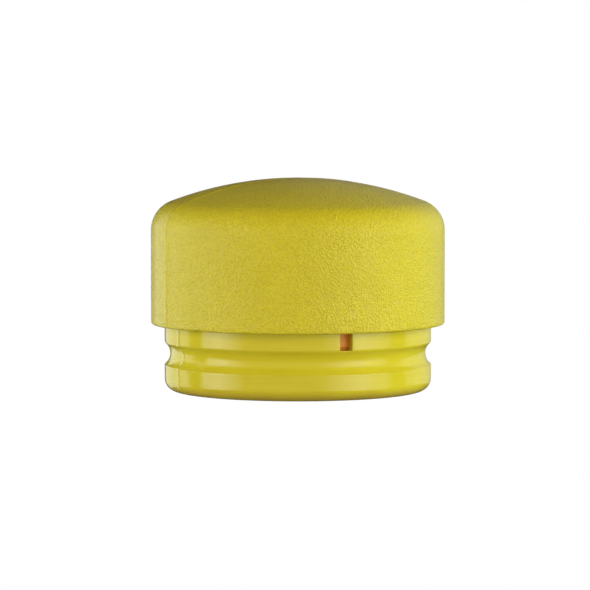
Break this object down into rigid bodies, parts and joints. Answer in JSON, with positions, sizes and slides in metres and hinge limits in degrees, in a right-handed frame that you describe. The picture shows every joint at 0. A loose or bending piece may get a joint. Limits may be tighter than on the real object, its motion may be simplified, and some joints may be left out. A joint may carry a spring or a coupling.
{
  "type": "snap-in dead blow mallet face",
  "caption": "Domed, grained polyurethane striking face for a dead blow mallet, with a polished, grooved snap-in spigot over a rigid core.",
  "frame": {"origin": "centre of the spigot's end face, which is the bottom of the part's box", "axes": "+Z along the axis, from the spigot's end towards the striking surface; the two windows look along -Y and +Y"},
  "size_m": [0.05, 0.05, 0.0362],
  "materials": {
    "grained_yellow": "spark-eroded grain, matte",
    "polished_yellow": "polished",
    "core_brown": "as moulded, satin"
  },
  "bodies": {
    "root": {"striking_cap": "grained_yellow", "snap_in_spigot": "polished_yellow", "rigid_core": "core_brown"}
  },
  "joints": []
}
